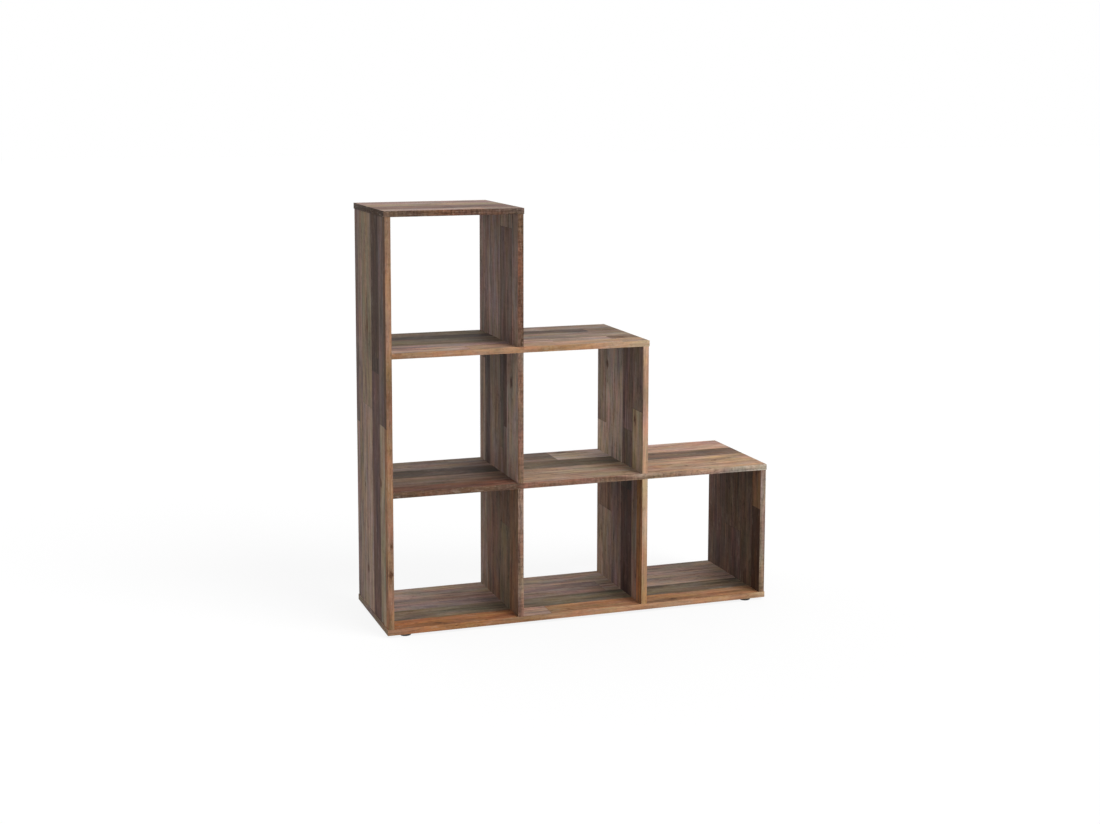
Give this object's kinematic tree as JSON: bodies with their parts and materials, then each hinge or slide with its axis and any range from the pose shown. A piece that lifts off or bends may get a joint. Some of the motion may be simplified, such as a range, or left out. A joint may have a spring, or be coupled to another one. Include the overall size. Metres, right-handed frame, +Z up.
{
  "type": "staircase bookshelf",
  "caption": "Free-standing staircase bookcase of wood-decor boards: equal open bays in stepped columns, open in front and behind, on low round glides.",
  "frame": {"origin": "on the floor, under the middle of the case's bounding box", "axes": "+X along the front from the tall column to the low one, +Y from front to back, +Z up"},
  "size_m": [1.045, 0.33, 1.075],
  "materials": {
    "upright_decor": "melamine-faced chipboard in a matt reclaimed-wood decor: old planks in taupe, umber, olive grey and mauve grey",
    "shelf_decor": "melamine-faced chipboard in the same matt decor in its lighter planks: beige, tan and grey",
    "zinc_plated_steel": "zinc-plated, satin",
    "beech": "raw turned beech",
    "grey_plastic": "matt dark grey moulded plastic"
  },
  "bodies": {
    "root": {"bottom_panel": "shelf_decor", "cam_fitting_left_divider_top_panel_back": "zinc_plated_steel", "cam_fitting_left_divider_top_panel_front": "zinc_plated_steel", "cam_fitting_left_side_top_panel_back": "zinc_plated_steel", "cam_fitting_left_side_top_panel_front": "zinc_plated_steel", "cam_fitting_middle_shelf_left_end_back": "zinc_plated_steel", "cam_fitting_middle_shelf_left_end_front": "zinc_plated_steel", "cam_fitting_right_divider_upper_shelf_back": "zinc_plated_steel", "cam_fitting_right_divider_upper_shelf_front": "zinc_plated_steel", "cam_fitting_right_side_middle_shelf_back": "zinc_plated_steel", "cam_fitting_right_side_middle_shelf_front": "zinc_plated_steel", "cam_fitting_upper_shelf_left_end_back": "zinc_plated_steel", "cam_fitting_upper_shelf_left_end_front": "zinc_plated_steel", "carcass_screw_left_divider_bottom_panel_back": "zinc_plated_steel", "carcass_screw_left_divider_bottom_panel_front": "zinc_plated_steel", "carcass_screw_left_side_bottom_panel_back": "zinc_plated_steel", "carcass_screw_left_side_bottom_panel_front": "zinc_plated_steel", "carcass_screw_right_divider_bottom_panel_back": "zinc_plated_steel", "carcass_screw_right_divider_bottom_panel_front": "zinc_plated_steel", "carcass_screw_right_side_bottom_panel_back": "zinc_plated_steel", "carcass_screw_right_side_bottom_panel_front": "zinc_plated_steel", "double_cam_fitting_left_divider_middle_shelf_back": "zinc_plated_steel", "double_cam_fitting_left_divider_middle_shelf_front": "zinc_plated_steel", "double_cam_fitting_left_divider_upper_shelf_back": "zinc_plated_steel", "double_cam_fitting_left_divider_upper_shelf_front": "zinc_plated_steel", "double_cam_fitting_right_divider_middle_shelf_back": "zinc_plated_steel", "double_cam_fitting_right_divider_middle_shelf_front": "zinc_plated_steel", "dowel_left_divider_bottom_panel": "beech", "dowel_left_divider_top_panel": "beech", "dowel_left_side_bottom_panel": "beech", "dowel_left_side_top_panel": "beech", "dowel_middle_shelf_left_end": "beech", "dowel_right_divider_bottom_panel": "beech", "dowel_right_divider_upper_shelf": "beech", "dowel_right_side_bottom_panel": "beech", "dowel_right_side_middle_shelf": "beech", "dowel_upper_shelf_left_end": "beech", "glide_back_left": "grey_plastic", "glide_back_right": "grey_plastic", "glide_front_left": "grey_plastic", "glide_front_right": "grey_plastic", "glide_nail_back_left": "zinc_plated_steel", "glide_nail_back_right": "zinc_plated_steel", "glide_nail_front_left": "zinc_plated_steel", "glide_nail_front_right": "zinc_plated_steel", "left_divider_bottom": "upright_decor", "left_divider_middle": "upright_decor", "left_divider_top": "upright_decor", "left_side_panel": "upright_decor", "long_dowel_left_divider_middle_shelf": "beech", "long_dowel_left_divider_upper_shelf": "beech", "long_dowel_right_divider_middle_shelf": "beech", "middle_shelf": "shelf_decor", "right_divider_bottom": "upright_decor", "right_divider_middle": "upright_decor", "right_side_panel": "upright_decor", "top_panel": "shelf_decor", "upper_shelf": "shelf_decor"}
  },
  "joints": []
}
